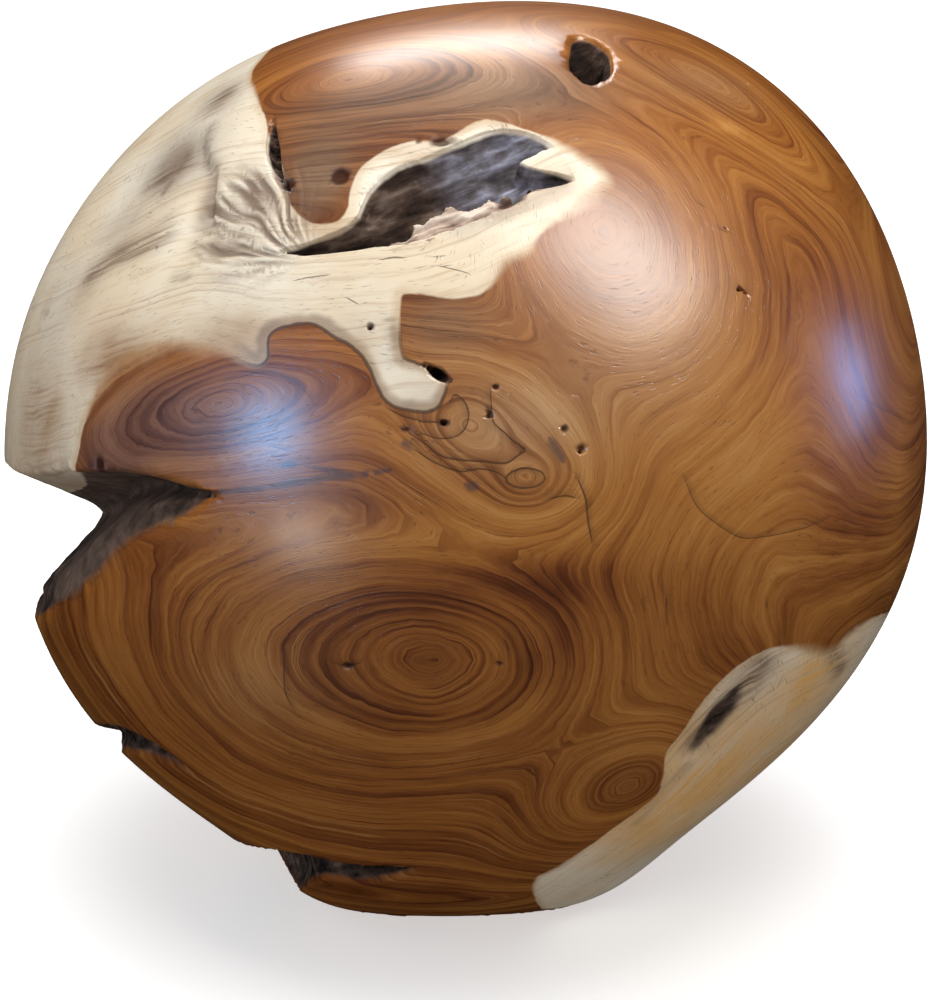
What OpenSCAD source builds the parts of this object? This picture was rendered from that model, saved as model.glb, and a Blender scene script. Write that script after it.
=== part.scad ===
// Teak root ball: one lump of root wood, carved and sanded to a rough ball, with the hollows,
// clefts and holes that the root grew left open, and a flat sawn underneath to stand on.
// Front is -Y, up is +Z, and the origin is under the middle of the ball, on the sawn flat.

/* [Ball] */
// Diameter that the lump is carved to
ball_d = 300; // [240:5:400]
// Height that is sawn off the underside, which leaves the flat to stand on
sawn_h = 8; // [4:0.5:16]

/* [Swells and dips of the carved skin] */
// Rise of the shoulder, high on the right
shoulder_rise = 7; // [0:0.5:10]
// Dip of the crown
crown_dip = 5.5; // [0:0.5:8]
// Dip of the scoop, high on the left
scoop_dip = 6; // [0:0.5:9]
// Dip of the cheek, low on the right
cheek_dip = 9; // [0:0.5:11]
// Dip of the waist, low on the left above the foot
waist_dip = 7; // [0:0.5:9]
// Rise of the root stub under the ball, all round
sole_rise = 2; // [0:0.5:5]
// Rise of the root stub under the ball, at its left end
heel_rise = 5; // [0:0.5:8]
// Rise of the root stub under the ball, at its right end
toe_rise = 5; // [0:0.5:8]

/* [Wing hollow under the crown] */
// Width of the hollow at its middle
wing_w = 28; // [16:1:36]
// Depth of the hollow at its deepest
wing_depth = 20; // [8:1:30]

/* [Side cleft on the left] */
// Height of the cleft's mouth where it opens on the side
cleft_w = 46; // [30:1:56]
// Depth of the cleft at its deepest
cleft_depth = 32; // [15:1:45]

/* [Hole beside the crown] */
// Width of the hole
hole_w = 16; // [8:1:20]
// Depth of the hole
hole_depth = 18; // [6:1:30]

/* [Pocket above the foot] */
// Height of the pocket's mouth
pocket_w = 32; // [16:1:40]
// Depth of the pocket
pocket_depth = 12; // [4:1:18]

/* [Small notches and slits] */
// Width of the notch low on the left
notch_w = 13; // [6:1:16]
// Depth of the notch low on the left
notch_depth = 6; // [2:0.5:10]
// Width of the bark pocket low on the right
bark_w = 15; // [8:1:22]
// Depth of the bark pocket low on the right
bark_depth = 2.5; // [1.5:0.5:6]
// Width of the slits above and below the wing hollow
slit_w = 5; // [2:0.5:8]
// Depth of the slits above and below the wing hollow
slit_depth = 8; // [3:0.5:12]
// Diameter of the borers' holes
borer_d = 2.4; // [1.5:0.1:4]
// Depth of the borers' holes
borer_depth = 6; // [3:0.5:12]

/* [Hidden] */

ball_r = ball_d / 2;
// The ball's middle stands over the flat by what the saw left of the radius
middle = [0, 0, ball_r - sawn_h];

// Facets of the skin, and of the hollows along and across their length
skin_points = 84;
skin_rings = 42;
steps_along = 4;
points_across = 9;
round_facets = 8;
// How far a cutter stands proud of the skin
cutter_proud = 6;
// Narrowest that a hollow gets at its tips, as a share of its width and depth
tip_share = 0.03;
// Rounding of the corners of the hole
corner_r = 0.8;

// Swells and dips: [turn from the front, height above the middle, spread, rise], angles in degrees
SWELLS = [
    [110, 46, 30, shoulder_rise],
    [-150, 70, 25, -crown_dip],
    [-72, 42, 16, -scoop_dip],
    [66, -46, 28, -cheek_dip],
    [-64, -51, 15, -waist_dip],
    [0, -84, 24, sole_rise],
    [-46, -63, 10, heel_rise],
    [46, -66, 11, toe_rise],
];

// Stations along each hollow:
// [turn, height, share of the width, share of the depth, lean of the floor to the upper side]
WING = [
    [-27.5, 39.5, 0.05, 0.1, 0],
    [-21, 41, 0.2, 0.4, -0.6],
    [-16.5, 42.5, 0.35, 0.8, -1.2],
    [-12, 45, 0.75, 1, -1.1],
    [-6, 48, 0.95, 1, -0.8],
    [1, 50.5, 1, 0.8, -0.5],
    [9, 52.5, 1, 0.6, -0.2],
    [15, 51.5, 0.6, 0.4, 0],
    [19, 49.5, 0.05, 0.1, 0],
];
CLEFT = [
    [-134, -18, 0.05, 0.1, 0],
    [-116, -15.5, 0.6, 0.65, 0],
    [-98, -11.5, 0.95, 1, 0],
    [-80, -7, 1, 1, 0.1],
    [-64, -2, 0.85, 0.95, 0.2],
    [-50, 5.5, 0.5, 0.75, 0.4],
    [-40, 9.5, 0.25, 0.5, 0.4],
    [-33, 10.8, 0.1, 0.25, 0],
    [-28, 11.5, 0.05, 0.1, 0],
];
POCKET = [
    [-84, -63, 0.1, 0.2, 0],
    [-62, -58.5, 0.85, 0.8, -0.5],
    [-48, -53.2, 1, 1, -0.6],
    [-37, -48, 0.8, 1, -0.2],
    [-27, -43.5, 0.58, 0.9, 0.3],
    [-17, -42.8, 0.45, 0.75, 0.4],
    [-7, -39.5, 0.06, 0.15, 0],
];
NOTCH = [
    [-98, -46, 0.1, 0.2, 0],
    [-78, -38, 0.8, 0.9, 0],
    [-58, -28.5, 1, 1, 0],
    [-46, -25.5, 0.8, 0.7, 0],
    [-37, -27.5, 0.1, 0.2, 0],
];
BARK = [
    [28, -23.5, 0.1, 0.2, 0],
    [30.5, -20, 0.7, 0.9, 0],
    [33.5, -15.5, 1, 1, 0],
    [37, -11, 0.1, 0.2, 0],
];
UPPER_SLIT = [
    [-46, 57.5, 0.2, 0.3, 0],
    [-39, 52.5, 1, 1, 0],
    [-33, 48.5, 0.4, 0.4, 0],
    [-29.5, 47, 0.2, 0.2, 0],
];
LOWER_SLIT = [
    [-5.2, 28, 0.2, 0.3, 0],
    [-3.2, 26.8, 0.8, 1, 0],
    [-1.4, 25.8, 0.2, 0.3, 0],
];

// How full the floor of a hollow is across it: 1 is a V, 2 a bow, and more is flatter
V_FLOOR = 1.3;
BOW_FLOOR = 2.2;

// Where the hole is, and its rim: [turn round the hole, share of the half width]
HOLE_AT = [42, 67.8];
HOLE_RIM = [[15, 1.35], [32, 1.4], [52, 2.1], [67, 2], [178, 1.05], [202, 1.5], [225, 2], [245, 1.5], [281, 1.1]];
HOLE_FLOOR_SHARE = 0.5;

// Where the borers' holes are: [turn, height]
BORERS = [
    [3.5, 25.5],
    [2.5, 22.5],
    [11.5, 20.5],
    [13.5, 18],
    [-2.5, 21.5],
    [-12.5, 32],
    [-22.5, 50.5],
    [41.5, 40.5],
    [40, 33],
];

function unit(v) = v / norm(v);
function angle_between(u, v) = acos(max(-1, min(1, u * v)));

// Direction from the ball's middle: turn goes from the front (-Y) towards +X
function towards(turn, height) = [
    sin(turn) * cos(height),
    -cos(turn) * cos(height),
    sin(height),
];

// Distance of the carved skin from the middle in direction u
function swell(u, s) = s[3] * exp(-pow(angle_between(u, towards(s[0], s[1])) / s[2], 2));
function skin_r(u, i = 0) = i == len(SWELLS) ? ball_r : swell(u, SWELLS[i]) + skin_r(u, i + 1);

// Point in direction u that lies the given depth under the skin
function under_skin(u, depth = 0) = u * (skin_r(u) - depth);

// Direction reached from u by going the given length along the ball towards side
function stepped(u, side, length) =
    let (turn = length / ball_r * 180 / PI)
    u * cos(turn) + side * sin(turn);

// Station at t, counted in stations, on the smooth curve through all of a hollow's stations
function station(path, t) =
    let (last = len(path) - 1)
    let (i = min(floor(t), last - 1))
    let (f = t - i)
    let (a = path[max(i - 1, 0)])
    let (b = path[i])
    let (c = path[i + 1])
    let (d = path[min(i + 2, last)])
    (2 * b + (c - a) * f + (2 * a - 5 * b + 4 * c - d) * f * f + (3 * b - a - 3 * c + d) * f * f * f) / 2;

function station_dir(path, t) =
    let (s = station(path, max(0, min(t, len(path) - 1))))
    towards(s[0], s[1]);

// Section across a hollow at t: the floor from lip to lip, and a ridge that clears the skin
function section(path, t, width, depth, fullness) =
    let (s = station(path, t))
    let (u = towards(s[0], s[1]))
    let (along = station_dir(path, t + 0.5) - station_dir(path, t - 0.5))
    let (side = unit(cross(u, along)))
    let (half_w = width / 2 * max(s[2], tip_share))
    let (deep = depth * max(s[3], tip_share))
    concat(
        [
            for (k = [0 : points_across - 1])
                let (x = 2 * k / (points_across - 1) - 1)
                let (sunk = 1 - pow(abs(x), fullness))
                under_skin(stepped(u, side, half_w * (x + s[4] * sunk)), deep * sunk),
        ],
        [under_skin(u, -cutter_proud)]
    );

// Cutter for a hollow: a loft through its sections
module hollow(path, width, depth, fullness) {
    steps = (len(path) - 1) * steps_along;
    ring = points_across + 1;
    points = [
        for (k = [0 : steps])
            each section(path, k / steps_along, width, depth, fullness),
    ];
    walls = [
        for (k = [0 : steps - 1], j = [0 : ring - 1])
            let (a = k * ring + j)
            let (b = k * ring + (j + 1) % ring)
            each [[a, a + ring, b], [b, a + ring, b + ring]],
    ];
    first_end = [for (j = [0 : ring - 1]) j];
    last_end = [for (j = [0 : ring - 1]) (steps + 1) * ring - 1 - j];
    polyhedron(points, concat(walls, [first_end, last_end]));
}

// Cutter for the many-sided hole, which narrows towards its floor
module hole() {
    u = towards(HOLE_AT[0], HOLE_AT[1]);
    side = unit(cross([0, 0, 1], u));
    rise = cross(u, side);
    hull() {
        for (corner = HOLE_RIM) {
            out = side * cos(corner[0]) + rise * sin(corner[0]);
            reach = hole_w / 2 * corner[1];
            translate(under_skin(stepped(u, out, reach), -cutter_proud))
                sphere(corner_r, $fn = round_facets);
            translate(under_skin(stepped(u, out, reach * HOLE_FLOOR_SHARE), hole_depth))
                sphere(corner_r, $fn = round_facets);
        }
    }
}

// Cutter for one borer's hole, straight into the wood
module borer_hole(at) {
    u = towards(at[0], at[1]);
    hull() {
        translate(under_skin(u, -cutter_proud))
            sphere(d = borer_d, $fn = round_facets);
        translate(under_skin(u, borer_depth))
            sphere(d = borer_d, $fn = round_facets);
    }
}

// The carved lump before its hollows are cut: rings of points from pole to pole
module lump() {
    rings = [
        for (i = [1 : skin_rings - 1], j = [0 : skin_points - 1])
            under_skin(towards(j * 360 / skin_points, -90 + i * 180 / skin_rings)),
    ];
    low_pole = len(rings);
    high_pole = low_pole + 1;
    last_ring = (skin_rings - 2) * skin_points;
    walls = [
        for (i = [0 : skin_rings - 3], j = [0 : skin_points - 1])
            let (a = i * skin_points + j)
            let (b = i * skin_points + (j + 1) % skin_points)
            each [[a, a + skin_points, b], [b, a + skin_points, b + skin_points]],
    ];
    caps = [
        for (j = [0 : skin_points - 1])
            let (k = (j + 1) % skin_points)
            each [[low_pole, j, k], [high_pole, last_ring + k, last_ring + j]],
    ];
    polyhedron(
        concat(rings, [under_skin([0, 0, -1]), under_skin([0, 0, 1])]),
        concat(walls, caps)
    );
}

// Everything below the sawn flat
module below_the_flat() {
    reach = 2 * ball_d;
    translate([0, 0, sawn_h - ball_r - reach / 2])
        cube(reach, center = true);
}

module root_ball() {
    color("peru")
        translate(middle)
            difference() {
                lump();
                below_the_flat();
                hollow(WING, wing_w, wing_depth, BOW_FLOOR);
                hollow(CLEFT, cleft_w, cleft_depth, V_FLOOR);
                hole();
                hollow(POCKET, pocket_w, pocket_depth, BOW_FLOOR);
                hollow(NOTCH, notch_w, notch_depth, V_FLOOR);
                hollow(BARK, bark_w, bark_depth, BOW_FLOOR);
                hollow(UPPER_SLIT, slit_w, slit_depth, V_FLOOR);
                hollow(LOWER_SLIT, slit_w, slit_depth, V_FLOOR);
                for (at = BORERS) {
                    borer_hole(at);
                }
            }
}

root_ball();
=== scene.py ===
import math

import bpy
import numpy as np
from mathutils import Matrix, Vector, noise


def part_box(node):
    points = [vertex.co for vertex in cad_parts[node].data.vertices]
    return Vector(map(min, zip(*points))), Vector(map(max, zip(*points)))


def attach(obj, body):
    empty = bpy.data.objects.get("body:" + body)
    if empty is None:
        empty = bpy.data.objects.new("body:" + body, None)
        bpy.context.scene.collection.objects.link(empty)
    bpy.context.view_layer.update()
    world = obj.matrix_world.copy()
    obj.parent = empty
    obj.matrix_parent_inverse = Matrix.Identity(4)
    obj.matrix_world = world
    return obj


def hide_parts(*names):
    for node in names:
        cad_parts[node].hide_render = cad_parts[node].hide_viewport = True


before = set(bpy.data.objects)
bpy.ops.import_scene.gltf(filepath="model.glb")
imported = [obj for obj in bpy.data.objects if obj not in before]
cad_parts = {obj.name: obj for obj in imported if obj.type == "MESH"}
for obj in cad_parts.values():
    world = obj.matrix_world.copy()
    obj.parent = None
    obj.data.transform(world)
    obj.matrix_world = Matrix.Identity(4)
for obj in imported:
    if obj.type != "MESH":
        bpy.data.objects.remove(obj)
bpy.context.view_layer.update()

# The photograph's frame and the view that it was taken from
PHOTO_W = 929
PHOTO_H = 1000
BALL_PX = (465, 455)
BALL_RADIUS_PX = 462
VIEW_ELEVATION = math.radians(18)
VIEW_DISTANCE = 1.10
SENSOR_MM = 36

# The solid's lowest corner, and the ball's radius and middle as in the part's source
NODE = "root_ball"
LOW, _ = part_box(NODE)
BALL_R = 0.150
MIDDLE = np.array([0.0, 0.0, 0.142])

# The view's axes, the angle from its line of sight to the ball's outline, and its focal length
RIGHT = np.array([1.0, 0.0, 0.0])
UP = np.array([0.0, math.sin(VIEW_ELEVATION), math.cos(VIEW_ELEVATION)])
BACK = np.array([0.0, -math.cos(VIEW_ELEVATION), math.sin(VIEW_ELEVATION)])
LIMB = math.acos(BALL_R / VIEW_DISTANCE)
FOCAL_PX = BALL_RADIUS_PX / math.tan(math.asin(BALL_R / VIEW_DISTANCE))
MM = 0.001
# Length on the ball that a pixel at its middle stands for
PIXEL = BALL_R / BALL_RADIUS_PX


# Places on the ball

def photo_dir(px, py):
    """Direction from the middle to the point seen at a pixel; past the outline it goes on round the back."""
    dx = np.asarray(px, float) - BALL_PX[0]
    dy = BALL_PX[1] - np.asarray(py, float)
    reach = np.hypot(dx, dy)
    inside = np.minimum(reach, BALL_RADIUS_PX * 0.9999)
    ray = np.arctan(inside / FOCAL_PX)
    turn = np.arcsin(np.clip(VIEW_DISTANCE * np.sin(ray) / BALL_R, -1, 1)) - ray
    turn = turn + (reach - inside) / BALL_RADIUS_PX
    side = np.arctan2(dy, dx)
    return (
        np.multiply.outer(np.sin(turn) * np.cos(side), RIGHT)
        + np.multiply.outer(np.sin(turn) * np.sin(side), UP)
        + np.multiply.outer(np.cos(turn), BACK)
    )


def from_sight(dirs):
    """Angle from the line of sight."""
    return np.arccos(np.clip(dirs @ BACK, -1, 1))


def chart(dirs):
    """Flat map of the ball in metres, true in distance and bearing from the line of sight."""
    turn = from_sight(dirs)
    side = np.arctan2(dirs @ UP, dirs @ RIGHT)
    return BALL_R * np.stack([turn * np.cos(side), turn * np.sin(side)], axis=-1)


def photo_chart(points):
    xy = np.array(points, float)
    return chart(photo_dir(xy[:, 0], xy[:, 1]))


def photo_curve(pixels, closed=False, steps=5):
    """Smooth curve through given pixels, on the flat map."""
    p = np.array(pixels, float)
    n = len(p)
    out = []
    for i in range(n if closed else n - 1):
        at = np.arange(i - 1, i + 3)
        a, b, c, d = p[at % n] if closed else p[np.clip(at, 0, n - 1)]
        for f in np.arange(steps) / steps:
            out.append(
                0.5 * (2 * b + (c - a) * f + (2 * a - 5 * b + 4 * c - d) * f ** 2
                       + (3 * b - a - 3 * c + d) * f ** 3)
            )
    if not closed:
        out.append(p[-1])
    return photo_chart(out)


def to_segments(points, line):
    """Distance to a line, which side of it each point is on, and how far along the line it is."""
    best = np.full(len(points), np.inf)
    side = np.ones(len(points))
    along = np.zeros(len(points))
    for i, (a, b) in enumerate(zip(line[:-1], line[1:])):
        ab = b - a
        length = max(ab @ ab, 1e-18)
        ap = points - a
        f = np.clip(ap @ ab / length, 0, 1)
        gap = ap - f[:, None] * ab
        d = np.hypot(gap[:, 0], gap[:, 1])
        nearer = d < best
        best[nearer] = d[nearer]
        side[nearer] = np.sign(ab[0] * ap[nearer, 1] - ab[1] * ap[nearer, 0])
        along[nearer] = (i + f[nearer]) / (len(line) - 1)
    return best, side, along


def inside_by(points, outline):
    """Distance inside a closed outline, negative outside."""
    ring = np.vstack([outline, outline[:1]])
    gap, _, _ = to_segments(points, ring)
    inside = np.zeros(len(points), bool)
    x, y = points[:, 0], points[:, 1]
    for a, b in zip(ring[:-1], ring[1:]):
        crosses = (a[1] > y) != (b[1] > y)
        rise = b[1] - a[1] if abs(b[1] - a[1]) > 1e-15 else 1e-15
        inside ^= crosses & (x < (b[0] - a[0]) * (y - a[1]) / rise + a[0])
    return np.where(inside, gap, -gap)


def inside_outline(flat, pixels):
    """Distance inside a smooth outline that is set in pixels."""
    return inside_by(flat, photo_curve(pixels, closed=True, steps=3))


def smooth_step(low, high, value):
    f = np.clip((value - low) / (high - low), 0, 1)
    return f * f * (3 - 2 * f)


def wander(points, scale, seed):
    """Smooth noise between about -1 and 1; scale is the size of its lumps in metres."""
    shift = np.array([seed * 3.1, seed * 5.7, seed * 7.3])
    return np.array([noise.noise(p) for p in (points / scale + shift).tolist()])


# The wood's figure, placed on the photograph

# Outline of the main patch of cream sapwood; points past the ball's outline go round the back
SAPWOOD_MAIN = [
    (285, 10), (262, 45), (247, 68), (254, 92), (264, 117), (268, 142), (280, 162), (284, 180),
    (289, 199), (296, 213), (308, 221), (321, 224), (337, 221), (346, 212), (350, 197), (353, 181),
    (361, 167), (375, 156), (394, 146), (414, 141), (440, 140), (463, 129), (485, 119), (521, 128),
    (556, 141), (586, 158), (608, 178), (600, 190), (576, 210), (556, 221), (536, 240), (529, 253),
    (506, 264), (493, 285), (476, 296), (452, 298), (426, 295), (404, 294), (401, 303), (400, 330),
    (401, 350), (404, 358), (414, 361), (427, 367), (440, 371), (448, 380), (444, 395), (439, 406),
    (427, 412), (409, 411), (394, 406), (384, 398), (377, 386), (372, 374), (364, 359), (352, 346),
    (335, 337), (322, 328), (310, 323), (290, 325), (277, 329), (269, 337), (268, 347), (267, 360),
    (257, 366), (245, 363), (230, 355), (200, 348), (170, 344), (140, 354), (115, 372), (96, 395),
    (84, 425), (76, 460), (66, 500), (10, 505), (-32, 492), (-50, 458), (-84, 436), (-120, 452),
    (-150, 420), (-144, 382), (-136, 340), (-152, 292), (-156, 236), (-130, 192), (-106, 140), (-80, 98),
    (-42, 70), (-30, 30), (-4, 4), (34, -22), (66, -42), (108, -54), (152, -48), (190, -36), (224, -42),
    (256, -32),
]
SAPWOOD_LOW_RIGHT = [
    (534, 890), (560, 873), (600, 846), (640, 817), (660, 800), (666, 778), (668, 756), (684, 736),
    (699, 711), (728, 677), (766, 652), (800, 648), (832, 655), (862, 630), (905, 615), (960, 640),
    (955, 720), (880, 850), (740, 930), (640, 960), (560, 945),
]

# Grain: whorls that the rings run round.
# Name: (pixel, stretch along, stretch across, tilt in degrees, drift of the rings as a share of their
# reach, start in mm)
WHORLS = {
    "big eye": ((432, 658), 1.55, 0.95, 4, (-0.35, -0.13), 0),
    "knot": ((630, 790), 0.75, 0.7, 0, (0, 0), 6),
    "crown left": ((345, 78), 1.6, 0.75, -8, (0.1, 0), 3),
    "crown right": ((698, 84), 1.7, 0.75, -14, (0, 0), 4),
    "bright flank": ((604, 232), 1.0, 1.25, 20, (0.1, 0), 2),
    "right flank": ((895, 285), 0.85, 1.5, 10, (-0.1, -0.12), 0),
    "left lens": ((215, 405), 2.1, 0.75, 6, (0.15, 0), 6),
    "burl": ((470, 425), 1.1, 0.8, -20, (0, 0), 9),
    "burl bud": ((526, 477), 0.8, 0.6, 0, (0, 0), 12),
}
# The same on the far side: (turn from the front, height), both in degrees
FAR_WHORLS = {
    "back eye": ((168, 12), 1.4, 1.0, 20, (0.2, 0.1), 0),
    "back left": ((-128, 20), 0.9, 1.3, -10, (0, 0.1), 3),
    "back right": ((118, -18), 1.2, 0.8, 30, (0, 0), 3),
    "back low": ((-150, -42), 1.5, 0.8, 0, (0, 0), 4),
    "sole": ((0, -90), 1.1, 1.0, 0, (0.1, 0), 2),
}
WHORL_BLEND = 0.010

# Fine dark lines: (pixels, half width in mm)
BURL_LINES = [
    ([(402, 429), (417, 438), (429, 447), (441, 456), (456, 460), (479, 461), (504, 463), (516, 457),
      (526, 449), (516, 443), (504, 432), (494, 422), (491, 407), (491, 390)], 0.36),
    ([(414, 449), (429, 459), (444, 467), (461, 472), (479, 469), (496, 472), (506, 479)], 0.32),
    ([(546, 478), (540, 471), (526, 468), (512, 472), (506, 479), (513, 486), (526, 488), (540, 485),
      (546, 478)], 0.43),
    ([(419, 432), (436, 438), (454, 437), (465, 429), (469, 414), (464, 400), (454, 394),
      (450, 402)], 0.29),
    ([(414, 421), (428, 422), (441, 423)], 0.36),
    ([(389, 409), (404, 417), (420, 420)], 0.29),
    ([(578, 479), (586, 499), (588, 519), (592, 540)], 0.36),
    ([(551, 499), (564, 496), (576, 498)], 0.32),
    ([(663, 588), (667, 604), (664, 622)], 0.29),
    ([(640, 597), (643, 607)], 0.25),
    ([(685, 480), (700, 510), (735, 535), (755, 538), (800, 530), (830, 518)], 0.18),
    ([(855, 395), (880, 408), (905, 420)], 0.22),
    ([(336, 664), (347, 667), (358, 664)], 0.32),
    ([(718, 229), (726, 233)], 0.25),
    ([(697, 204), (703, 208)], 0.22),
    ([(739, 289), (745, 293)], 0.22),
    ([(380, 260), (392, 257), (404, 258)], 0.29),
    ([(433, 257), (446, 256)], 0.22),
    ([(296, 280), (312, 277), (329, 275)], 0.25),
    ([(345, 297), (352, 301), (358, 304)], 0.22),
    ([(438, 266), (454, 269), (470, 274)], 0.22),
    ([(268, 446), (277, 448), (288, 451)], 0.22),
    ([(270, 455), (278, 457), (286, 456)], 0.16),
    ([(272, 440), (279, 442), (284, 440)], 0.14),
    ([(505, 640), (508, 650)], 0.29),
    ([(283, 655), (284, 690), (290, 705)], 0.25),
    ([(230, 380), (262, 372), (292, 380), (310, 398)], 0.18),
]
# Small pits and knots: (pixel, half length and half height in pixels, depth in mm)
PITS = [
    ((340, 176), (10, 11), 1.2),
    ((98, 466), (7, 11), 1.5),
    ((442, 141), (13, 7), 0.9),
    ((418, 141), (5, 4), 0.6),
    ((287, 184), (9, 7), 1.2),
    ((444, 423), (4, 3), 0.8),
    ((496, 387), (4, 3), 0.8),
    ((489, 412), (4, 4), 0.8),
    ((565, 429), (4, 4), 1.0),
    ((582, 449), (6, 5), 1.2),
    ((370, 326), (4, 4), 0.8),
    ((405, 429), (4, 3), 0.8),
    ((347, 666), (9, 3), 0.8),
    ((499, 664), (5, 3), 0.6),
]
# Distance that stands for no line, stain or pit near
NOT_NEAR = 9.0
# Blue-grey stains: (pixels, half width in mm)
BLUE_STAINS = [
    ([(206, 493), (250, 490), (290, 484), (330, 477), (366, 475), (390, 470)], 0.9),
    ([(252, 471), (292, 465), (342, 472), (376, 475)], 0.5),
    ([(402, 440), (408, 447), (412, 450)], 1.0),
    ([(549, 437), (556, 449), (564, 462)], 1.0),
    ([(464, 486), (478, 486)], 1.0),
]

# How strong the rings show: (pixel, spread in pixels, change)
FIGURE = [
    ((610, 240), (100, 110), -0.75),
    ((720, 500), (110, 60), -0.55),
    ((700, 620), (70, 110), -0.45),
    ((390, 670), (190, 120), 0.5),
    ((150, 420), (80, 50), 0.5),
    ((480, 430), (80, 60), 0.5),
    ((350, 110), (120, 80), 0.4),
    ((520, 80), (90, 50), 0.6),
]

# Soft patches of tone on the heartwood: (pixel, spread in pixels, lighter or darker, redder or greyer)
TONES = [
    ((740, 470), (130, 150), 0.32, 0.0),
    ((640, 340), (100, 100), 0.08, -0.3),
    ((620, 240), (70, 70), -0.22, -0.4),
    ((722, 132), (22, 8), 0.3, 0.0),
    ((672, 47), (22, 6), 0.25, 0.0),
    ((800, 200), (110, 110), 0.12, 0.1),
    ((400, 540), (190, 26), 0.28, 0.0),
    ((500, 425), (90, 60), 0.28, -0.45),
    ((330, 400), (45, 50), 0.06, 0.2),
    ((160, 420), (90, 55), 0.04, 1.0),
    ((105, 462), (50, 40), -0.10, 0.8),
    ((440, 322), (50, 36), -0.06, -0.5),
    ((270, 432), (50, 32), -0.12, 0.2),
    ((315, 180), (36, 50), 0.0, -0.8),
    ((215, 575), (90, 30), 0.12, 0.0),
    ((110, 650), (60, 70), 0.12, 0.0),
    ((480, 585), (110, 20), -0.26, 0.1),
    ((555, 645), (30, 60), -0.30, 0.1),
    ((400, 665), (130, 80), -0.14, 0.0),
    ((432, 658), (36, 26), -0.26, 0.1),
    ((270, 690), (110, 70), 0.06, -0.3),
    ((330, 810), (150, 40), 0.10, 0.0),
    ((600, 700), (50, 80), 0.12, 0.0),
    ((665, 715), (50, 60), 0.18, 0.0),
    ((630, 790), (42, 36), -0.10, 0.2),
    ((440, 890), (220, 40), -0.10, 0.1),
    ((900, 470), (40, 90), 0.18, 0.1),
    ((860, 400), (50, 80), -0.05, 0.1),
    # Next three: greyer and darker at the top, the grey partly the wood's own and partly a painted sheen
    ((350, 110), (130, 70), -0.22, -0.5),
    ((520, 90), (110, 50), -0.15, -0.7),
    ((700, 90), (110, 60), 0.0, -0.4),
]

# Grey and brown stains in the sapwood, and painted shade by the scoop's crease and along the wing hollow's
# lower lip: (pixels, half width in mm, strength)
SAP_STAINS_AND_SHADES = [
    ([(84, 268), (104, 252), (132, 243), (160, 226)], 6.0, 0.9),
    ([(178, 138), (166, 162), (152, 184)], 1.6, 0.7),
    ([(38, 312), (44, 309)], 1.6, 0.9),
    # Next three: painted shade on the facet that falls away left of the scoop's crease
    ([(204, 120), (200, 140), (203, 160)], 3.0, 0.45),
    ([(206, 165), (205, 200), (207, 220)], 5.0, 0.55),
    ([(215, 232), (222, 246), (234, 240)], 2.4, 0.5),
    ([(172, 276), (186, 274)], 2.0, 0.6),
    ([(391, 322), (397, 340), (394, 356)], 2.2, 0.55),
    ([(840, 655), (850, 675)], 5.0, 0.7),
    ([(735, 655), (790, 640)], 4.0, 0.4),
    ([(700, 742), (728, 712), (752, 684), (764, 668)], 6.5, 0.9),
    ([(690, 770), (672, 790), (640, 830)], 3.0, 0.35),
    # Painted shade of the wing hollow's lower wall along its lip
    ([(455, 228), (490, 217), (530, 203), (566, 188)], 3.0, 0.45),
]
# Soft patches where the sapwood is tan, honey-coloured or grey, some of them painted shade: (pixel, spread
# in pixels, strength)
SAP_TAN_AT = [
    ((40, 420), (60, 100), 0.85),
    ((110, 360), (70, 36), 0.95),
    ((230, 338), (50, 26), 0.7),
    # Next three: tan along the wing hollow's rim, partly the wood's tan and partly painted shade on its
    # rounded edge
    ((330, 232), (40, 12), 0.5),
    ((410, 152), (50, 12), 0.5),
    ((490, 124), (50, 10), 0.4),
    ((560, 190), (50, 30), 0.3),
    ((360, 345), (24, 30), 0.4),
    ((440, 395), (30, 20), 0.4),
]
SAP_HONEY_AT = [((720, 800), (170, 150), 0.95), ((820, 690), (90, 70), 0.9)]
# Grey: grey stains, and painted shade on the scoop left of its crease
SAP_ASH_AND_SHADE_AT = [
    ((165, 150), (55, 50), 1.5),
    ((215, 90), (40, 40), 0.9),
    ((110, 215), (60, 40), 0.45),
    ((205, 195), (16, 50), 0.5),
    ((60, 290), (60, 60), 0.35),
    ((250, 215), (40, 50), 0.45),
]
# The sapwood's tints: their patches, and their strength on the far side
SAP_TINTS = {"tan": (SAP_TAN_AT, 0.3), "honey": (SAP_HONEY_AT, 0.4), "ash_and_shade": (SAP_ASH_AND_SHADE_AT, 0.2)}
# Softness of the sapwood's edge in mm, and what is added on the far side
EDGE_SOFT = 0.45
FAR_EDGE_SOFT = 2.3
# Where the sapwood fades into the heartwood softly: (pixel, spread in pixels, softness in mm)
SOFT_EDGES = [
    ((140, 362), (110, 40), 6.0),
    ((590, 190), (50, 60), 4.0),
    ((520, 262), (50, 30), 2.5),
    ((255, 80), (30, 60), 1.5),
    ((840, 640), (70, 40), 4.0),
    ((600, 880), (90, 60), 3.0),
]
# Where a taupe band and a dark outline follow the sapwood's edge: (pixel, spread in pixels, strength)
BANDED = [((320, 345), (75, 34), 1.0), ((400, 395), (46, 36), 1.0)]
# Lines that the sapwood's grain runs along
SAP_GRAIN = [
    [(-60, 420), (20, 330), (100, 285), (200, 252), (272, 260), (350, 255), (422, 244), (495, 219),
     (570, 190), (640, 168)],
    [(520, 900), (600, 850), (660, 805), (700, 760), (760, 700), (820, 668), (900, 630)],
]
# Where the fibres fan out from, at the left tip of the wing hollow, and how far, in metres
FAN_AT = (312, 268)
FAN_REACH = 0.036
FAN_MIDDLE = (250, 215)
# The crease beside the scoop, high on the left
SCOOP_RIDGE = [
    (207, 108), (199, 128), (203, 150), (215, 162), (214, 182), (213, 205), (215, 220), (224, 226),
]
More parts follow.
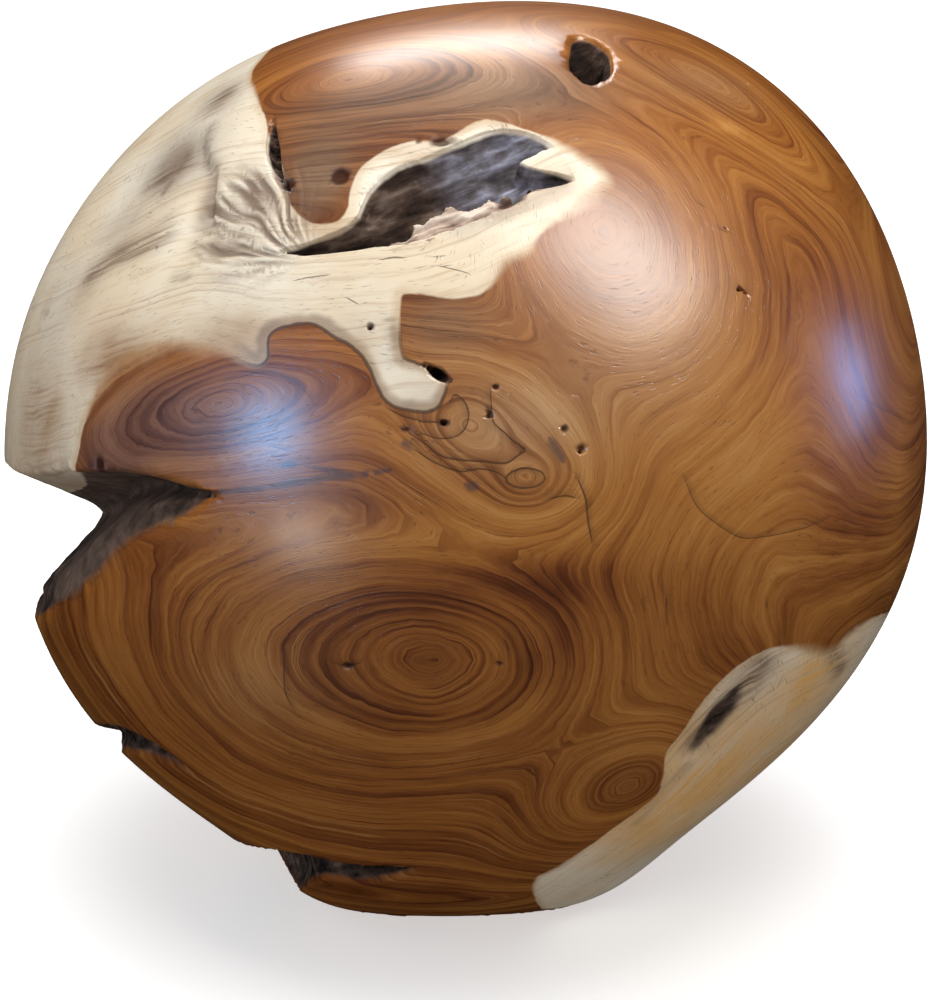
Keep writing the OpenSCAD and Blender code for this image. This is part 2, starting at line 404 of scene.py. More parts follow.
# Mouth of the wing hollow, with the skin pressed in along its upper edge
WING_MOUTH = [
    (292, 256), (309, 243), (334, 239), (350, 228), (360, 206), (368, 190), (387, 172), (412, 160),
    (439, 157), (462, 145), (486, 132), (505, 128), (522, 135), (538, 146), (530, 153), (521, 160),
    (534, 167), (555, 172), (567, 177), (570, 183), (542, 190), (510, 200), (474, 214), (440, 228),
    (405, 240), (375, 247), (344, 252),
]
# Lower lip of the side cleft, rounded over towards the cleft
CLEFT_MOUTH = [
    (216, 493), (202, 508), (160, 532), (126, 545), (101, 566), (84, 586), (55, 610), (30, 622),
    (0, 628), (-79, 638), (-140, 645), (-140, 600), (-79, 580), (0, 560), (40, 540), (85, 515),
    (120, 500), (160, 490),
]
# How the skin is pressed in there: (outline, slope, depth in mm)
MOUTHS = [(WING_MOUTH, 2.2, 6.0), (CLEFT_MOUTH, 0.9, 6.0)]
# The wing hollow, and where its torn wood is grey with a painted blue sheen inside
WING_ZONE = ((440, 185), (170, 80))
WING_BLUE_SHEEN = ((505, 150), (85, 60))
# The torn bank along its lower lip: pixels, its reach in mm, its depth at the lip in mm and its slope
BANK_LIP = [(372, 247), (410, 243), (453, 232), (486, 218), (521, 205), (538, 191), (566, 183)]
BANK_REACH = [3.0, 5.5, 11.0, 7.0, 6.0, 4.0, 2.0]
BANK_TOP_MM = 1.4
BANK_SLOPE = 0.25
# Spur of sound wood that splits its right end, and the tail of the side cleft, filled up to the skin
SPUR = [(588, 152), (548, 147), (534, 152), (518, 160), (532, 168), (556, 173), (584, 178)]
CLEFT_TAIL = ((228, 494), (20, 12))
# The side cleft, whose walls are smooth and whose lips are rounded
CLEFT_ZONE = ((60, 540), (150, 95))
# Where the sapwood's skin runs on over the cleft's upper lip, and how deep it goes in mm
CLEFT_LIP = [
    (-70, 440), (-20, 425), (60, 430), (90, 440), (84, 462), (60, 479), (36, 494), (5, 501),
    (-40, 500), (-80, 480),
]
CLEFT_LIP_MM = 24


# Mesh

# In metres; skin within the slack is laid on the carved surface
VOXEL = 0.0012
SKIN_SLACK = 0.00035
REMESHED_TRIANGLES = 90000

# The carved skin's broad swells and dips, as in the solid: (turn, height, spread in degrees, rise in mm)
SWELLS = [
    (110, 46, 30, 7),
    (-150, 70, 25, -5.5),
    (-72, 42, 16, -6),
    (66, -46, 28, -9),
    (-64, -51, 15, -7),
    (0, -84, 24, 2),
    (-46, -63, 10, 5),
    (46, -66, 11, 5),
]


def globe_dir(turn, height):
    """Direction at a turn from the front and a height, in degrees."""
    t, h = math.radians(turn), math.radians(height)
    return np.array([math.sin(t) * math.cos(h), -math.cos(t) * math.cos(h), math.sin(h)])


def skin_radius(dirs):
    """How far the skin would be from the middle if the ball had no hollows."""
    out = np.full(len(dirs), BALL_R)
    for turn, height, spread, rise in SWELLS:
        apart = np.arccos(np.clip(dirs @ globe_dir(turn, height), -1, 1))
        out += rise * MM * np.exp(-((apart / math.radians(spread)) ** 2))
    return out


def linked(name, data):
    """New object in the scene."""
    made = bpy.data.objects.new(name, data)
    bpy.context.scene.collection.objects.link(made)
    return made


def vertex_array(mesh):
    co = np.zeros(len(mesh.vertices) * 3)
    mesh.vertices.foreach_get("co", co)
    return co.reshape(-1, 3)


def remeshed(node):
    """Even, fine copy of the solid's mesh."""
    mesh = node.data.copy()
    piece = linked("wood_ball", mesh)
    bpy.ops.object.select_all(action="DESELECT")
    bpy.context.view_layer.objects.active = piece
    piece.select_set(True)
    mesh.remesh_voxel_size = VOXEL
    bpy.ops.object.voxel_remesh()
    faces = sum(len(p.vertices) - 2 for p in piece.data.polygons)
    thin = piece.modifiers.new("thin", "DECIMATE")
    thin.ratio = REMESHED_TRIANGLES / faces
    thin.use_collapse_triangulate = True
    bpy.ops.object.modifier_apply(modifier=thin.name)
    return piece


def triangle_array(mesh):
    mesh.calc_loop_triangles()
    tris = np.zeros(len(mesh.loop_triangles) * 3, int)
    mesh.loop_triangles.foreach_get("vertices", tris)
    return tris.reshape(-1, 3)


def split_marked(points, tris, marked):
    """Splits each marked triangle in four, and its neighbours as far as needed to keep the skin closed."""
    edges = np.sort(np.concatenate([tris[:, [0, 1]], tris[:, [1, 2]], tris[:, [2, 0]]]), axis=1)
    key = edges[:, 0] * (len(points) + 1) + edges[:, 1]
    found, first, which = np.unique(key, return_index=True, return_inverse=True)
    which = which.reshape(3, -1).T
    cut = np.zeros(len(found), bool)
    cut[which[marked].ravel()] = True
    new_points = points[edges[first[cut]]].mean(axis=1)
    number = np.cumsum(cut) - 1 + len(points)
    mid = np.where(cut[which], number[which], -1)
    count = cut[which].sum(axis=1)
    out = [tris[count == 0]]
    t = tris[count == 3]
    e = mid[count == 3]
    out.append(np.c_[t[:, 0], e[:, 0], e[:, 2]])
    out.append(np.c_[e[:, 0], t[:, 1], e[:, 1]])
    out.append(np.c_[e[:, 2], e[:, 1], t[:, 2]])
    out.append(e)
    for k in range(3):
        one = (count == 1) & (mid[:, k] >= 0)
        t = np.roll(tris[one], -k, axis=1)
        e = mid[one, k]
        out.append(np.c_[t[:, 0], e, t[:, 2]])
        out.append(np.c_[e, t[:, 1], t[:, 2]])
        two = (count == 2) & (mid[:, k] < 0)
        t = np.roll(tris[two], -k, axis=1)
        a = mid[two, (k + 1) % 3]
        b = mid[two, (k + 2) % 3]
        out.append(np.c_[t[:, 0], t[:, 1], a])
        out.append(np.c_[t[:, 0], a, b])
        out.append(np.c_[b, a, t[:, 2]])
    return np.vstack([points, new_points]), np.vstack(out)


def relaxed(points, tris, hold, passes, pull=0.5):
    """Evens the mesh out; hold is 1 where a point stays."""
    ends = np.concatenate([tris[:, [0, 1]], tris[:, [1, 2]], tris[:, [2, 0]]])
    ends = np.concatenate([ends, ends[:, ::-1]])
    degree = np.bincount(ends[:, 0], minlength=len(points))
    free = (pull * (1 - hold))[:, None]
    for _ in range(passes):
        mean = np.stack(
            [np.bincount(ends[:, 0], points[ends[:, 1], k], len(points)) / degree for k in range(3)],
            axis=-1,
        )
        points = points + free * (mean - points)
    return points


def whorl_frames():
    """Each whorl's direction, followed by its numbers."""
    for at, *numbers in WHORLS.values():
        yield photo_dir(*at), *numbers
    for at, *numbers in FAR_WHORLS.values():
        yield globe_dir(*at), *numbers


def grain(dirs, points):
    """Ring count across the wood in metres: its level lines are the growth rings."""
    total = np.zeros(len(dirs))
    for at, along, across, tilt, drift, start in whorl_frames():
        east = RIGHT - at * (RIGHT @ at)
        east /= np.linalg.norm(east)
        north = np.cross(at, east)
        turn = np.arccos(np.clip(dirs @ at, -1, 1))
        flat = dirs - np.outer(dirs @ at, at)
        flat /= np.maximum(np.linalg.norm(flat, axis=1), 1e-9)[:, None]
        x = BALL_R * turn * (flat @ east)
        y = BALL_R * turn * (flat @ north)
        c, s = math.cos(math.radians(tilt)), math.sin(math.radians(tilt))
        reach = np.hypot(x, y)
        for _ in range(4):
            u = x - drift[0] * reach
            v = y - drift[1] * reach
            reach = np.hypot((c * u + s * v) / along, (c * v - s * u) / across)
        total += np.exp(-(reach + start * MM) / WHORL_BLEND)
    rings = -WHORL_BLEND * np.log(np.maximum(total, 1e-300))
    rings += 2.6 * MM * wander(points, 0.045, 1)
    rings += 0.8 * MM * wander(points, 0.014, 2)
    return rings


def sap_grain(flat, points):
    """The same for the sapwood, whose grain follows the lip of the wing hollow and the low right edge."""
    near = np.full(len(flat), np.inf)
    for pixels in SAP_GRAIN:
        gap, _, _ = to_segments(flat, photo_curve(pixels, steps=3))
        near = np.minimum(near, gap)
    near += 2.2 * MM * wander(points, 0.030, 11)
    near += 0.7 * MM * wander(points, 0.010, 12)
    return near


def spreads_from(flat, at, spread):
    """Distance from a pixel, as a share of a spread in pixels."""
    away = (flat - photo_chart([at])[0]) / (np.array(spread) * PIXEL)
    return np.hypot(away[:, 0], away[:, 1])


def soft_patch(flat, at, spread):
    """1 at a pixel, fading out over a spread in pixels."""
    return np.exp(-(spreads_from(flat, at, spread) ** 2))


def strongest(flat, patches):
    """The strongest of several soft patches: (pixel, spread, strength)."""
    out = np.zeros(len(flat))
    for at, spread, strength in patches:
        out = np.maximum(out, strength * soft_patch(flat, at, spread))
    return out


def line_fields(flat, lines):
    """Nearest of several lines: signed distance, distance, and the line's half width there, in mm."""
    near = np.full(len(flat), np.inf)
    signed = np.full(len(flat), NOT_NEAR)
    width = np.zeros(len(flat))
    for pixels, half_width in lines:
        line = photo_curve(pixels)
        gap, side, along = to_segments(flat, line)
        taper = np.sqrt(np.clip(4 * along * (1 - along) + 0.15, 0, 1))
        hit = gap < near
        near[hit] = gap[hit]
        signed[hit] = (gap * side)[hit] / MM
        width[hit] = (half_width * taper)[hit]
    return signed, near / MM, width


def front_of(dirs):
    """1 where the photograph shows the ball, falling to 0 round the back."""
    return 1 - smooth_step(LIMB + 0.25, LIMB + 0.6, from_sight(dirs))


def past_limb(dirs):
    """0 where the photograph shows the ball, rising to 1 just past its outline."""
    return smooth_step(LIMB - 0.02, LIMB + 0.22, from_sight(dirs))


def sapwood(flat):
    """Distance inside the sapwood in mm, negative in the heartwood."""
    inside = np.full(len(flat), -1.0)
    for outline in (SAPWOOD_MAIN, SAPWOOD_LOW_RIGHT):
        inside = np.maximum(inside, inside_outline(flat, outline))
    return np.clip(inside / MM, -40, 40)


def pit_field(flat):
    """How far out of the nearest pit a point is, as a share of the pit's size, and the pit's depth."""
    out = np.full(len(flat), NOT_NEAR)
    deep = np.zeros(len(flat))
    for at, half_size, depth in PITS:
        share = spreads_from(flat, at, half_size)
        hit = share < out
        out[hit] = share[hit]
        deep[hit] = depth
    return out, deep * MM


def torn_ridges(flat, points):
    """Ridges of torn fibres on the floors of the hollows, mostly between -1 and 1."""
    across = flat[:, 1] - 0.37 * flat[:, 0]
    strip = np.c_[flat[:, 0] * 0.2, across, points[:, 2] * 0.3]
    broad = 1 - 3 * np.abs(wander(strip, 0.006, 3))
    fine = 1 - 3 * np.abs(wander(strip, 0.0026, 5))
    return 0.6 * broad + 0.4 * fine


def mouth_depth(flat):
    """How far the skin is pressed in towards the hollows' mouths."""
    pressed = np.zeros(len(flat))
    for outline, slope, deepest in MOUTHS:
        pressed = np.maximum(pressed, np.minimum(inside_outline(flat, outline) * slope, deepest * MM))
    return pressed


def filled_share(flat):
    """How much of the depth is filled up again at the spur and at the cleft's tail."""
    spur = smooth_step(-0.9 * MM, 0.9 * MM, inside_outline(flat, SPUR))
    tail = smooth_step(0.15, 0.85, soft_patch(flat, *CLEFT_TAIL))
    return np.maximum(0.9 * spur, tail)


def torn_depth(flat, depth):
    """Depth below the skin, but none where the skin runs on over the cleft's upper lip."""
    covered = smooth_step(-1.5 * MM, 1.5 * MM, inside_outline(flat, CLEFT_LIP))
    covered *= 1 - smooth_step(CLEFT_LIP_MM * MM, (CLEFT_LIP_MM + 4) * MM, depth)
    return depth * (1 - covered)


def bank_fields(flat, points):
    """Torn bank inside the wing hollow's lower lip: its depth, and how much of it there is."""
    gap, side, along = to_segments(flat, photo_curve(BANK_LIP))
    inward = gap * side / MM
    ragged = wander(points, 0.004, 14)
    depth = BANK_TOP_MM + BANK_SLOPE * np.maximum(inward, 0) + 1.2 * ragged
    there = smooth_step(0.0, 0.1, along) * (1 - smooth_step(0.85, 1, along))
    reach = np.interp(along, np.linspace(0, 1, len(BANK_REACH)), BANK_REACH)
    there *= 1 - smooth_step(reach - 1.5, reach, inward + 4 * ragged)
    return depth * MM, there * (inward > -0.6) * (gap < 0.03)


def fan_strength(flat):
    gap = np.hypot(*(flat - photo_chart([FAN_MIDDLE])[0]).T)
    return 1 - smooth_step(0.35 * FAN_REACH, 0.8 * FAN_REACH, gap)


def fan_fields(flat):
    """Fibres that fan out from the hollow's left tip: their strength and their ridges."""
    away = flat - photo_chart([FAN_AT])[0]
    reach = np.hypot(away[:, 0], away[:, 1])
    bearing = np.arctan2(away[:, 1], away[:, 0])
    bearing += 0.12 * wander(np.c_[flat, np.zeros(len(flat))], 0.016, 13)
    strip = np.c_[bearing * 0.02, reach * 0.07, np.zeros(len(flat))]
    ridges = wander(strip, 0.0016, 6) + 0.6 * wander(strip, 0.0007, 7)
    return fan_strength(flat), ridges


def scoop_step(flat):
    """Drop of the skin on the left of the crease."""
    line = photo_curve(SCOOP_RIDGE)
    gap, side, along = to_segments(flat, line)
    left = side < 0
    ends = smooth_step(0, 0.3, along) * (1 - smooth_step(0.75, 1, along))
    drop = np.where(left, smooth_step(0, 2.5 * MM, gap) * np.exp(-((gap / (14 * MM)) ** 2)), 0)
    return 2.6 * MM * drop * ends


def ball_dirs(points):
    arms = points - MIDDLE
    radius = np.linalg.norm(arms, axis=1)
    return arms / radius[:, None], radius


def refined(points, tris):
    """Splits the mesh finer where the figure has edges, lines, pits and torn fibres."""
    for band, torn in ((3.2 * MM, 1 * MM), (1.6 * MM, np.inf)):
        dirs, radius = ball_dirs(points)
        flat = chart(dirs)
        fine = np.abs(sapwood(flat)) * MM < band
        _, near, _ = line_fields(flat, BURL_LINES + BLUE_STAINS)
        mouth = inside_outline(flat, WING_MOUTH)
        fine |= near * MM < band
        fine |= np.abs(mouth) < band / 2
        fine |= (mouth > -9 * MM) & (skin_radius(dirs) - radius > torn)
        fine |= pit_field(flat)[0] < 1.6
        fine |= fan_strength(flat) > 0.05
        fine &= front_of(dirs) > 0.5
        points, tris = split_marked(points, tris, fine[tris].any(axis=1))
    return points, tris


def laid_on_skin(points, tris):
    """Evens the mesh and lays its skin on the carved surface: points, directions, depth and the foot."""
    foot = points[:, 2] < LOW.z + 0.6 * MM
    points = relaxed(points, tris, foot, 4)
    points[foot, 2] = LOW.z
    dirs, radius = ball_dirs(points)
    depth = np.where(foot, 0, skin_radius(dirs) - radius)
    near = 1 - smooth_step(SKIN_SLACK, 3 * SKIN_SLACK, np.abs(depth))
    points = MIDDLE + dirs * (radius + near * depth)[:, None]
    return points, dirs, depth * (1 - near), foot


def hollow_forms(flat, points, depth, cleft):
    """Torn floors of the hollows: how far they rise, their ridges and the pale bank."""
    rise, ridges, bank = np.zeros((3, len(points)))
    hollow = depth > 0.5 * MM
    deep = depth[hollow]
    ridges[hollow] = torn_ridges(flat[hollow], points[hollow])
    bank_deep, there = bank_fields(flat[hollow], points[hollow])
    bank[hollow] = there * smooth_step(0, 1.5 * MM, deep)
    lump = wander(points[hollow], 0.009, 4)
    torn = smooth_step(0.8 * MM, 4 * MM, deep) * (1 - 0.7 * cleft[hollow])
    rise[hollow] = there * np.maximum(deep - bank_deep, 0)
    rise[hollow] += torn * (1.1 * MM * (ridges[hollow] - 0.3) + 0.7 * MM * lump)
    return rise, ridges, bank


def skin_forms(flat, points, depth, front):
    """Finer forms of the skin: the fan's folds, the crease, the pits and a slow unevenness."""
    fan, folds = fan_fields(flat)
    out, deep = pit_field(flat)
    seen = 0.5 * MM * fan * folds - scoop_step(flat) - deep * (1 - smooth_step(0.3, 1.1, out))
    uneven = 0.5 * MM * (0.5 + 0.5 * wander(points, 0.055, 8))
    return seen * front - uneven * (1 - smooth_step(0, 1 * MM, depth))


def shape_ball(piece):
    """Refines the copied mesh, smooths its skin and works the finer forms into it."""
    points, tris = refined(vertex_array(piece.data), triangle_array(piece.data))
    points, dirs, depth, foot = laid_on_skin(points, tris)
    flat = chart(dirs)
    front = front_of(dirs)
    lift = -np.maximum(mouth_depth(flat) * front - depth, 0)
    lift += filled_share(flat) * np.maximum(depth - lift, 0)
    depth = depth - lift
    cleft = np.minimum(1, 1.6 * soft_patch(flat, *CLEFT_ZONE)) * front
    rise, ridges, bank = hollow_forms(flat, points, depth, cleft)
    lift += rise + skin_forms(flat, points, depth, front)
    lift[foot] = 0
    points = points + dirs * lift[:, None]
    points[:, 2] = np.maximum(points[:, 2], LOW.z)
    hold = 1 - cleft * (1 - smooth_step(5 * MM, 9 * MM, depth))
    points = relaxed(points, tris, hold, 12)
    write_mesh(piece, points, tris)
    depth = torn_depth(flat, depth) / MM
    # The ridges are also used to paint light on the hollows' crests and shade in their troughs
    store(piece, {"cleft": cleft, "depth": depth, "crest_painted_light": ridges, "bank": bank})
    return points, dirs, flat


def write_mesh(piece, points, tris):
    mesh = bpy.data.meshes.new("wood_ball")
    mesh.from_pydata(points.tolist(), [], tris.tolist())
    mesh.validate()
    mesh.shade_smooth()
    piece.data = mesh


def store(piece, fields):
    """Writes named values on the mesh's points for the material to read."""
    for name, values in fields.items():
        layer = piece.data.attributes.new(name, "FLOAT", "POINT")
        layer.data.foreach_set("value", np.asarray(values, np.float32))


def heart_figure(points, dirs, flat, front):
    """The heartwood's rings, how strong they show, and its tones."""
    figure = np.ones(len(flat))
    for at, spread, change in FIGURE:
        figure += change * soft_patch(flat, at, spread) * front
    tone, red = np.zeros((2, len(flat)))
    for at, spread, lighter, redder in TONES:
        patch = soft_patch(flat, at, spread) * front
        tone += lighter * patch
        red += redder * patch
    rings = grain(dirs, points) / MM
    return {"rings": rings, "figure": np.clip(figure, 0.2, 2), "tone": tone, "red": red}


def sap_figure(points, dirs, flat, front):
    """Where the sapwood is, its rings, stains and tints with some painted shade, and how its edge looks."""
    stain_and_shade = np.zeros(len(flat))
    for pixels, half_width, strength in SAP_STAINS_AND_SHADES:
        gap, _, _ = to_segments(flat, photo_curve(pixels))
        stain_and_shade = np.maximum(stain_and_shade, strength * np.exp(-((gap / (half_width * MM)) ** 2)))
    soft = EDGE_SOFT + FAR_EDGE_SOFT * past_limb(dirs)
    fields = {
        "sap": sapwood(flat),
        "sap_rings": sap_grain(flat, points) / MM,
        "stain_and_shade": stain_and_shade * front,
        "soft": np.maximum(soft, strongest(flat, SOFT_EDGES)),
        "banded": smooth_step(0.2, 0.5, strongest(flat, BANDED)) * front,
    }
    for name, (patches, behind) in SAP_TINTS.items():
        fields[name] = strongest(flat, patches) * front + behind * (1 - front)
    return fields


def line_figure(flat, front):
    """Dark lines, blue stains and pits, on the side that the photograph shows."""
    seen = front > 0.5
    side, near, width = line_fields(flat, BURL_LINES)
    _, blue_near, blue_width = line_fields(flat, BLUE_STAINS)
    return {
        "line_side": np.clip(side, -NOT_NEAR, NOT_NEAR),
        "line_near": np.where(seen, np.minimum(near, NOT_NEAR), NOT_NEAR),
        "line_width": width,
        "blue_near": np.where(seen, np.minimum(blue_near, NOT_NEAR), NOT_NEAR),
        "blue_width": np.maximum(blue_width, 0.1),
        "pit": np.where(seen, pit_field(flat)[0], NOT_NEAR),
    }


def write_figure(piece, points, dirs, flat):
    """Stores the wood's figure on the mesh for the material to draw."""
    front = front_of(dirs)
    fan, ridges = fan_fields(flat)
    store(piece, heart_figure(points, dirs, flat, front))
    store(piece, sap_figure(points, dirs, flat, front))
    store(piece, line_figure(flat, front))
    store(piece, {"fan": fan * front, "fan_ridge": ridges})
    for name, zone in (("wing_blue_sheen", WING_BLUE_SHEEN), ("wing", WING_ZONE)):
        store(piece, {name: soft_patch(flat, *zone) * front})


# Material

class Graph:
    """Short calls that add shader nodes."""

    def __init__(self, tree):
        self.tree = tree

    def node(self, kind, **inputs):
        made = self.tree.nodes.new(kind)
        for name, value in inputs.items():
            self.put(made, name.replace("_", " "), value)
        return made

    def put(self, made, socket, value):
        target = made.inputs[socket]
        if isinstance(value, bpy.types.NodeSocket):
            self.tree.links.new(value, target)
        elif value is not None:
            target.default_value = value

    def field(self, name):
        made = self.node("ShaderNodeAttribute")
        made.attribute_name = name
        return made.outputs["Fac"]

    def math(self, operation, *values, clamp=False):
        made = self.node("ShaderNodeMath")
        made.operation = operation
        made.use_clamp = clamp
        for i, value in enumerate(values):
            self.put(made, i, value)
        return made.outputs[0]

    def times(self, a, b, clamp=False):
        return self.math("MULTIPLY", a, b, clamp=clamp)

    def scale_add(self, value, scale, base):
        return self.math("MULTIPLY_ADD", value, scale, base)

    def step(self, value, low, high, out_low=0.0, out_high=1.0):
        made = self.node("ShaderNodeMapRange")
        made.interpolation_type = "SMOOTHSTEP"
        for i, put in enumerate((value, low, high, out_low, out_high)):
            self.put(made, i, put)
        return made.outputs[0]

    def noise(self, scale, vector=None, w=None, detail=2.0, rough=0.5, dims="3D"):
        made = self.node("ShaderNodeTexNoise")
        made.noise_dimensions = dims
        sockets = {"Vector": vector, "W": w, "Scale": scale, "Detail": detail, "Roughness": rough}
        for name, value in sockets.items():
            if value is not None:
                self.put(made, name, value)
        return made.outputs[0]

    def bands(self, rings, scale, detail, rough=0.5):
        """Noise that changes across the rings alone."""
        return self.noise(scale, w=rings, detail=detail, rough=rough, dims="1D")

    def streak(self, position, rings, length, width, detail=4.0, rough=0.62):
        """Noise drawn out along the grain; length and width are in mm."""
        scale = 1000.0 / length
        across = self.times(rings, 1.0 / (width * scale))
        return self.noise(scale, position, w=across, dims="4D", detail=detail, rough=rough)

    def mix(self, factor, a, b):
        made = self.node("ShaderNodeMix")
        made.data_type = "RGBA"
        made.clamp_factor = True
        self.put(made, 0, factor)
        for socket, value in ((6, a), (7, b)):
            if isinstance(value, tuple):
                value = (*value, 1.0)
            self.put(made, socket, value)
        return made.outputs[2]

    def blend(self, factor, a, b):
        made = self.node("ShaderNodeMix")
        for socket, value in ((0, factor), (2, a), (3, b)):
            self.put(made, socket, value)
        return made.outputs[0]

    def ramp(self, value, stops):
        made = self.node("ShaderNodeValToRGB")
        ramp = made.color_ramp
        while len(ramp.elements) < len(stops):
            ramp.elements.new(0.5)
        for element, (at, colour) in zip(ramp.elements, stops):
            element.position = at
            element.color = (*colour, 1.0)
        self.put(made, 0, value)
        return made.outputs[0]


HEART_STOPS = [
    (0.0, (0.060, 0.015, 0.004)),
    (0.25, (0.165, 0.040, 0.006)),
    (0.5, (0.330, 0.108, 0.016)),
    (0.75, (0.500, 0.200, 0.036)),
    (1.0, (0.650, 0.330, 0.095)),
]
HEART_REDS = [(0.0, (0.045, 0.018, 0.014)), (0.5, (0.170, 0.080, 0.066)), (1.0, (0.360, 0.200, 0.160))]
HEART_GREYS = [(0.0, (0.085, 0.048, 0.028)), (0.5, (0.290, 0.185, 0.115)), (1.0, (0.560, 0.420, 0.300))]
HEART_LIGHT_LINE = (0.600, 0.330, 0.120)
SAP_CREAM = (0.930, 0.780, 0.570)
SAP_PALE = (0.990, 0.910, 0.750)
SAP_WARM = (0.640, 0.430, 0.230)
SAP_TAN = (0.440, 0.265, 0.150)
SAP_HONEY = (0.980, 0.560, 0.190)
SAP_ASH_AND_SHADE = (0.240, 0.170, 0.125)
# Grey-brown of the stains, also used for painted shade
SAP_STAIN_AND_SHADE = (0.190, 0.112, 0.075)
TAUPE = (0.300, 0.200, 0.140)
LINE_DARK = (0.080, 0.032, 0.013)
PIT_DARK = (0.040, 0.012, 0.008)
BLUE_STAIN = (0.050, 0.042, 0.055)
HOLLOW_BROWNS = [
    (0.20, (0.014, 0.009, 0.007)),
    (0.45, (0.085, 0.055, 0.042)),
    (0.70, (0.250, 0.180, 0.140)),
    (1.0, (0.420, 0.320, 0.250)),
]
# Grey torn wood with a painted blue sheen; its palest steps are painted light on the crests
HOLLOW_GREYS_AND_BLUE_SHEEN = [
    (0.20, (0.030, 0.026, 0.028)),
    (0.42, (0.160, 0.142, 0.155)),
    (0.60, (0.340, 0.340, 0.420)),
    (0.76, (0.560, 0.590, 0.720)),
    (1.0, (0.800, 0.820, 0.880)),
]
CLEFT_BROWNS = [(0.10, (0.050, 0.033, 0.026)), (0.5, (0.140, 0.095, 0.075)), (1.0, (0.260, 0.185, 0.145))]
BANK_STOPS = [(0.28, (0.100, 0.060, 0.045)), (0.42, (0.450, 0.330, 0.260)), (0.62, (0.860, 0.720, 0.610))]
# Lie of the fibres in the wing hollow
FIBRE_FROM = (300, 262)
FIBRE_TO = (560, 165)


def centred(g, value):
    return g.math("SUBTRACT", value, 0.5)


def late_wood(g, position, rings, pace, drift, sharpness, fades):
    """Dark line at the end of each year's growth, which fades in and out along the grain."""
    scale, reach = drift
    shift = g.bands(rings, scale, 0.0)
    years = g.scale_add(shift, reach, g.times(rings, pace))
    late = g.math("POWER", g.math("FRACT", years), sharpness)
    return g.times(late, g.step(g.streak(position, rings, 40.0, 6.0, detail=1.0), *fades))


def heartwood(g, position, rings):
    """Heartwood: broad bands, growth rings and fibres that all run along the grain."""
    figure = g.field("figure")
    red = g.field("red")
    rings = g.scale_add(centred(g, g.noise(90.0, position, detail=2.0)), 1.4, rings)
    broad = g.bands(rings, 0.05, 1.0)
    band = g.bands(rings, 0.17, 2.0)
    fine = g.bands(rings, 0.7, 2.0, rough=0.6)
    fibre = g.streak(position, rings, 18.0, 0.7, detail=3.0, rough=0.7)
    blotch = g.noise(13.0, position, detail=2.0)
    late = late_wood(g, position, rings, 0.3, (0.1, 2.2), 3.0, (0.36, 0.62))
    level = g.math("ADD", g.field("tone"), 0.5)
    for part, share in ((broad, 0.7), (band, 0.45), (fine, 0.18)):
        level = g.scale_add(g.times(centred(g, part), figure), share, level)
    for part, share in ((fibre, 0.6), (blotch, 0.35)):
        level = g.scale_add(centred(g, part), share, level)
    level = g.scale_add(g.times(late, figure), -0.22, level)
    colour = g.ramp(level, HEART_STOPS)
    crossing = g.math("ABSOLUTE", centred(g, g.bands(rings, 0.31, 0.0)))
    early = g.times(g.step(crossing, 0.016, 0.004), figure)
    early = g.times(early, g.step(g.noise(38.0, position, detail=1.0), 0.45, 0.65))
    colour = g.mix(g.times(early, 0.42), colour, HEART_LIGHT_LINE)
    colour = g.mix(g.times(g.step(red, 0.0, 1.0), 0.8), colour, g.ramp(level, HEART_REDS))
    colour = g.mix(g.times(g.step(red, 0.0, -1.0), 0.85), colour, g.ramp(level, HEART_GREYS))
    return colour, fibre


def sapwood_colour(g, position, rings):
    """Cream sapwood with tan clouds, streaks along the grain, grey-brown stains and painted shade in places.
    """
    blotch = g.noise(22.0, position, detail=3.0, rough=0.6)
    streak = g.streak(position, rings, 30.0, 1.6, detail=3.0, rough=0.68)
    colour = g.mix(g.step(blotch, 0.35, 0.65), SAP_CREAM, SAP_PALE)
    colour = g.mix(g.times(g.step(streak, 0.5, 0.72), 0.5), colour, SAP_WARM)
    cloudy = g.step(g.math("ADD", blotch, streak), 0.7, 1.2, 1.4, 0.6)
    for name, tint in (("tan", SAP_TAN), ("honey", SAP_HONEY), ("ash_and_shade", SAP_ASH_AND_SHADE)):
        colour = g.mix(g.times(g.field(name), cloudy, clamp=True), colour, tint)
    late = late_wood(g, position, rings, 0.26, (0.12, 2.0), 4.0, (0.42, 0.64))
    colour = g.mix(g.times(late, 0.5), colour, SAP_TAN)
    # Grey-brown stains, and painted shade where stain patches stand in for it
    patchy = g.times(g.field("stain_and_shade"), g.step(streak, 0.25, 0.6))
    return g.mix(patchy, colour, SAP_STAIN_AND_SHADE)


def fibre_space(g, position):
    """The ball's space, drawn out along the fibres in the wing hollow."""
    a, b = photo_dir(*FIBRE_FROM), photo_dir(*FIBRE_TO)
    along = (b - a) / np.linalg.norm(b - a)
    deep = (a + b) / np.linalg.norm(a + b)
    across = np.cross(deep, along)
    axes = []
    for axis, scale in ((along, 0.16), (across, 1.0), (deep, 1.0)):
        made = g.node("ShaderNodeVectorMath")
        made.operation = "DOT_PRODUCT"
        g.put(made, 0, position)
        made.inputs[1].default_value = Vector(axis * scale)
        axes.append(made.outputs["Value"])
    return g.node("ShaderNodeCombineXYZ", X=axes[0], Y=axes[1], Z=axes[2]).outputs[0]


